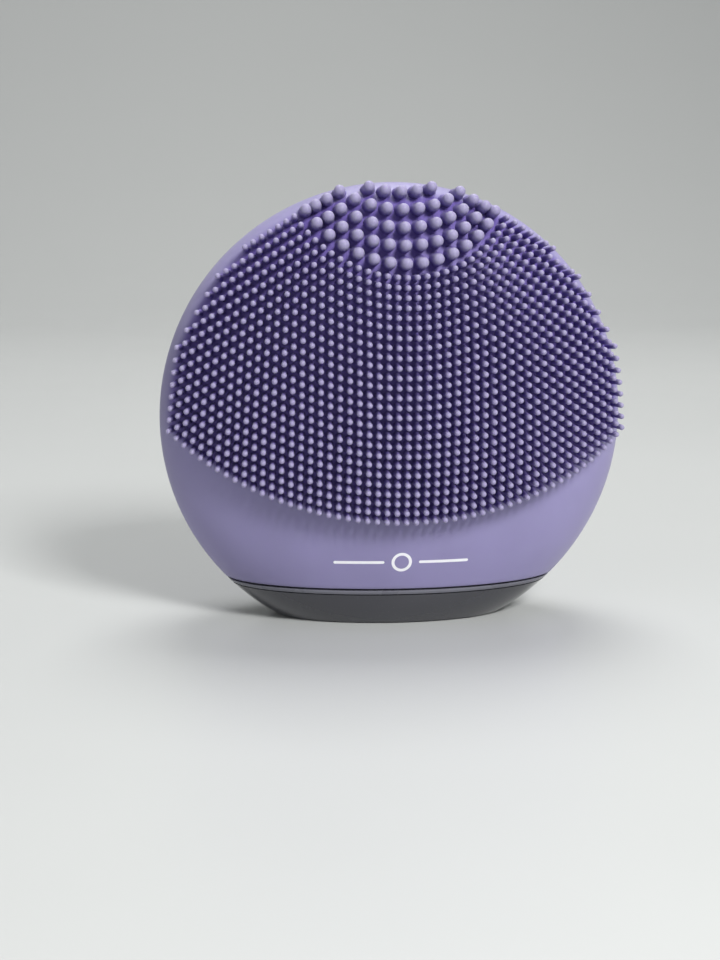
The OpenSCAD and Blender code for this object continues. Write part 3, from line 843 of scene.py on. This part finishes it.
class BRUSH_OT_sleeve(bpy.types.Operator):
    """Add the silicone sleeve"""
    bl_idname = "face_brush.sleeve"
    bl_label = "Silicone Sleeve"

    def execute(self, context):
        scene = context.scene
        piece = sleeve_piece()
        finish = sleeve_finish(scene.brush_silicone, scene.brush_touchpoints)
        dress(piece, finish, "silicone_sleeve")
        return {"FINISHED"}


class BRUSH_OT_fine_touchpoints(bpy.types.Operator):
    """Add the field of fine touch-points"""
    bl_idname = "face_brush.fine_touchpoints"
    bl_label = "Fine Touch-points"

    def execute(self, context):
        settings, silicone = context.scene.brush_touchpoints, context.scene.brush_silicone
        template = touchpoint_template("fine_touchpoint", settings.fine_radius, settings.height,
                                       sides=10, dome_steps=3)
        piece = copies_joined(template, fine_touchpoint_places(settings), "fine_touchpoint_field")
        smooth(piece, angle=60)
        # Painted shade at the root of each fine touch-point
        finish = touchpoint_finish("Fine touch-point silicone", silicone.painted_shade, silicone.tip,
                                   low=0.45, high=0.95)
        dress(piece, finish, "fine_touchpoints")
        return {"FINISHED"}


class BRUSH_OT_thick_touchpoints(bpy.types.Operator):
    """Add the zone of thick touch-points"""
    bl_idname = "face_brush.thick_touchpoints"
    bl_label = "Thick Touch-points"

    def execute(self, context):
        settings, silicone = context.scene.brush_touchpoints, context.scene.brush_silicone
        template = touchpoint_template("thick_touchpoint", settings.thick_radius, settings.height,
                                       sides=20, dome_steps=5)
        piece = copies_joined(template, thick_touchpoint_places(settings), "thick_touchpoint_zone")
        smooth(piece, angle=60)
        # Painted shade at the root of each thick touch-point
        finish = touchpoint_finish("Thick touch-point silicone", silicone.painted_shade, silicone.tip,
                                   low=0.1, high=0.9)
        dress(piece, finish, "thick_touchpoints")
        return {"FINISHED"}


class BRUSH_OT_massage_ridges(bpy.types.Operator):
    """Add the curved massage ridges on the back"""
    bl_idname = "face_brush.massage_ridges"
    bl_label = "Massage Ridges"

    def execute(self, context):
        settings, silicone = context.scene.brush_ridges, context.scene.brush_silicone
        ridges = [ridge_piece("ridge", settings.first + row * settings.pitch, settings)
                  for row in range(settings.count)]
        piece = joined(ridges, "massage_ridge_set")
        smooth(piece, angle=60)
        finish = plain_silicone_finish("Ridge silicone", silicone.skin)
        dress(piece, finish, "massage_ridges")
        return {"FINISHED"}


class BRUSH_OT_power_button(bpy.types.Operator):
    """Add the power button and the ring around it"""
    bl_idname = "face_brush.power_button"
    bl_label = "Power Button"

    def execute(self, context):
        silicone = context.scene.brush_silicone
        cap_radius = RING_RADIUS - BUTTON_RING_WIDTH
        button = button_piece(cap_radius)
        finish = plain_silicone_finish("Button silicone", tinted(silicone.skin, 1.12))
        dress(button, finish, "power_button", BUTTON)
        ring = button_ring_piece(cap_radius)
        finish = satin_finish("Dark button surround", (0.05, 0.045, 0.075, 1), 0.32)
        dress(ring, finish, "button_ring")
        return {"FINISHED"}


class BRUSH_OT_base(bpy.types.Operator):
    """Add the base cap, trim ring and gaskets"""
    bl_idname = "face_brush.base"
    bl_label = "Base"

    def execute(self, context):
        settings = context.scene.brush_base
        cap = base_cap_piece(settings)
        dress(cap, gloss_finish("Dark gloss base", settings.gloss), "base_cap")
        trim = ring_slice("base_trim_lip", trim_low.z, trim_high.z, bevel=TRIM_BEVEL)
        dress(trim, satin_finish("Grey trim", settings.trim, 0.28), "base_trim_ring")
        rubber = satin_finish("Black seal rubber", (0.012, 0.012, 0.016, 1), 0.6)
        for name, low, high, node in (("lower_seal", base_high.z, trim_low.z, "base_gasket"),
                                      ("upper_seal", trim_high.z, SEAM_Z, "seam_gasket")):
            dress(ring_slice(name, low, high, inset=SEAL_SETBACK), rubber, node)
        return {"FINISHED"}


def part_finishes():
    """A finish for each slot of the inner CAD nodes: name, colour, roughness, then grain or stretch."""
    steel, brass = (0.62, 0.63, 0.65, 1), (0.78, 0.57, 0.28, 1)
    return {
        "housing_plastic": satin_finish("Housing plastic", (0.62, 0.62, 0.66, 1), 0.4),
        "frame_plastic": satin_finish("Frame plastic", (0.45, 0.46, 0.49, 1), 0.42),
        "cover_plastic": satin_finish("Screw cover plastic", (0.03, 0.03, 0.037, 1), 0.3),
        "end_cap_plastic": satin_finish("Motor end plastic", (0.78, 0.77, 0.72, 1), 0.45),
        "stem_plastic": satin_finish("Switch stem plastic", (0.03, 0.03, 0.04, 1), 0.4),
        "dark_rubber": satin_finish("Black rubber", (0.012, 0.012, 0.016, 1), 0.6),
        "foam_black": satin_finish("Black foam", (0.02, 0.02, 0.022, 1), 0.85, 900.0),
        "chip_black": satin_finish("Moulded chip resin", (0.02, 0.02, 0.023, 1), 0.5),
        "part_ceramic": satin_finish("Ceramic", (0.46, 0.33, 0.18, 1), 0.5),
        "board_green": satin_finish("Green solder mask", (0.01, 0.13, 0.05, 1), 0.28, 700.0),
        "battery_foil": metal_finish("Battery foil", (0.66, 0.67, 0.7, 1), 0.35),
        "screw_steel": metal_finish("Screw steel", steel, 0.28),
        "switch_metal": metal_finish("Switch cover steel", steel, 0.32),
        "motor_steel": metal_finish("Drawn motor can", steel, 0.25, (0.05, 1, 1)),
        "shaft_steel": metal_finish("Ground shaft steel", tinted(steel, 1.15), 0.15, (1, 0.1, 0.1)),
        "core_steel": metal_finish("Laminated core steel", (0.3, 0.31, 0.33, 1), 0.4, (6, 0.2, 0.2)),
        "magnet_dark": metal_finish("Sintered magnet", (0.12, 0.12, 0.13, 1), 0.45),
        "weight_metal": metal_finish("Sintered weight", (0.4, 0.39, 0.38, 1), 0.38),
        "bushing_bronze": metal_finish("Bronze", (0.55, 0.35, 0.17, 1), 0.35),
        "copper_wire": metal_finish("Enamelled copper", (0.65, 0.26, 0.11, 1), 0.28, (0.2, 4, 4)),
        "jack_gold": metal_finish("Gilt contact", brass, 0.2),
        "led_white": satin_finish("Lamp resin", (0.85, 0.85, 0.78, 1), 0.2),
        "lead_red": satin_finish("Red lead insulation", (0.5, 0.02, 0.02, 1), 0.35),
        "lead_black": satin_finish("Black lead insulation", (0.015, 0.015, 0.018, 1), 0.35),
        "icon_print": satin_finish("Pale icon silicone", (0.8, 0.79, 0.85, 1), 0.45),
        "light_pipe_clear": light_pipe_finish(),
    }


def light_pipe_finish():
    """Clear moulded acrylic, a little milky."""
    look = Finish("Clear light pipe", (0.9, 0.92, 0.95, 1), 0.08, Transmission_Weight=0.4, IOR=1.49)
    look.roughness_from(look.ramp(look.noise(scale=900.0), 0.3, 0.7, low_out=0.08, high_out=0.18))
    return look.material


class BRUSH_OT_inner_parts(bpy.types.Operator):
    """Give the CAD nodes that stay their finishes"""
    bl_idname = "face_brush.inner_parts"
    bl_label = "Inner Parts"

    def execute(self, context):
        silicone, base = context.scene.brush_silicone, context.scene.brush_base
        finishes = part_finishes()
        skin = plain_silicone_finish("Plain silicone", silicone.skin)
        gloss = gloss_finish("Plain base plastic", base.gloss)
        for part in frame["record"]["subparts"]:
            node, slot = frame["nodes"][part["node"]], part["material_slot"]
            finish = finishes.get(slot, skin if "silicone" in slot else gloss)
            for holder in node.material_slots:
                holder.material = finish
            if not node.material_slots:
                node.data.materials.append(finish)
        return {"FINISHED"}


class BRUSH_OT_stage(bpy.types.Operator):
    """Add the floor, the lights and the camera"""
    bl_idname = "face_brush.stage"
    bl_label = "Stage"

    def execute(self, context):
        settings = context.scene.brush_stage
        add_floor(settings)
        add_lights()
        add_camera(context.scene, settings)
        return {"FINISHED"}


def add_floor(settings):
    """A pale sweep: flat floor, turned up into a wall behind."""
    size, middle_y, wall_height, bend = 2.4, -0.4, 1.4, 0.4
    nothing_selected()
    bpy.ops.mesh.primitive_plane_add(size=size, location=(0, middle_y, 0))
    floor = named_new("floor")
    place_in_mesh(floor)
    bpy.ops.object.mode_set(mode="EDIT")
    points = floor.data.vertices
    select_where(floor, "edges", lambda edge: all(points[i].co.y > middle_y for i in edge.vertices))
    bpy.ops.mesh.extrude_region_move(TRANSFORM_OT_translate={"value": (0, 0, wall_height)})
    bpy.ops.object.mode_set(mode="OBJECT")
    apply_modifier(floor, "BEVEL", width=bend, segments=12, limit_method="ANGLE")
    smooth(floor, angle=60)
    look = Finish("Pale floor", settings.floor_colour, 0.35)
    look.roughness_from(look.ramp(look.noise(scale=9.0), 0.3, 0.7, low_out=0.32, high_out=0.4))
    floor.data.materials.append(look.material)


def add_light(name, place, size, power, colour=(1, 1, 1)):
    """A square soft box that points at the body."""
    light = bpy.data.lights.new(name, "AREA")
    light.size = size
    light.energy = power
    light.color = colour
    lamp = bpy.data.objects.new(name, light)
    bpy.context.collection.objects.link(lamp)
    lamp.location = place
    lamp.rotation_euler = (BODY_CENTRE - Vector(place)).to_track_quat("-Z", "Y").to_euler()


def add_lights():
    """A key from the upper right, a weak fill from the left, one above and behind, and a pale sky."""
    add_light("key", place=(0.24, -0.48, 0.46), size=0.18, power=5.2)
    add_light("fill", place=(-0.6, -0.5, 0.3), size=0.5, power=0.7, colour=(0.95, 0.97, 1.0))
    add_light("top", place=(0.05, 0.25, 0.6), size=0.35, power=3.0)
    world = bpy.data.worlds.new("studio")
    world.use_nodes = True
    background = world.node_tree.nodes["Background"]
    background.inputs["Color"].default_value = (0.86, 0.88, 0.9, 1)
    background.inputs["Strength"].default_value = 0.30
    bpy.context.scene.world = world


def add_camera(scene, settings):
    """The camera, aimed so that the brush stands a little right of and above the middle."""
    aim_right, aim_up = -4.55 * MM, -9.5 * MM
    camera = bpy.data.objects.new("camera", bpy.data.cameras.new("camera"))
    scene.collection.objects.link(camera)
    camera.data.lens = settings.lens
    camera.data.clip_start = 0.01
    turn, rise = settings.azimuth, settings.elevation
    away = Vector((math.sin(turn) * math.cos(rise), -math.cos(turn) * math.cos(rise), math.sin(rise)))
    look = (-away).to_track_quat("-Z", "Y").to_matrix()
    aim = BODY_CENTRE + look @ Vector((aim_right, aim_up, 0))
    camera.location = BODY_CENTRE + away * settings.distance
    facing = (aim - camera.location).to_track_quat("-Z", "Y").to_matrix()
    camera.rotation_euler = (facing @ Matrix.Rotation(settings.roll, 3, "Z")).to_euler()
    scene.camera = camera
    scene.view_settings.view_transform = "Standard"


class BRUSH_PT_panel(bpy.types.Panel):
    """Lists the pieces of the face brush"""
    bl_idname = "BRUSH_PT_panel"
    bl_label = "Face Brush"
    bl_space_type = "VIEW_3D"
    bl_region_type = "UI"
    bl_category = "Face Brush"

    def draw(self, context):
        for step in STEPS:
            self.layout.operator(step.bl_idname)


SETTINGS = {
    "brush_ridges": RidgeSettings,
    "brush_touchpoints": TouchpointSettings,
    "brush_silicone": SiliconeSettings,
    "brush_base": BaseSettings,
    "brush_stage": StageSettings,
}
STEPS = (
    BRUSH_OT_sleeve, BRUSH_OT_fine_touchpoints, BRUSH_OT_thick_touchpoints, BRUSH_OT_massage_ridges,
    BRUSH_OT_power_button, BRUSH_OT_base, BRUSH_OT_inner_parts, BRUSH_OT_stage)
CLASSES = tuple(SETTINGS.values()) + STEPS + (BRUSH_PT_panel,)


def register():
    for cls in CLASSES:
        bpy.utils.register_class(cls)
    for name, cls in SETTINGS.items():
        setattr(bpy.types.Scene, name, PointerProperty(type=cls))


def unregister():
    for name in SETTINGS:
        delattr(bpy.types.Scene, name)
    for cls in reversed(CLASSES):
        bpy.utils.unregister_class(cls)


def main():
    """Builds every piece and the stage."""
    register()
    for step in STEPS:
        group, action = step.bl_idname.split(".")
        getattr(getattr(bpy.ops, group), action)()


if __name__ == "__main__":
    main()
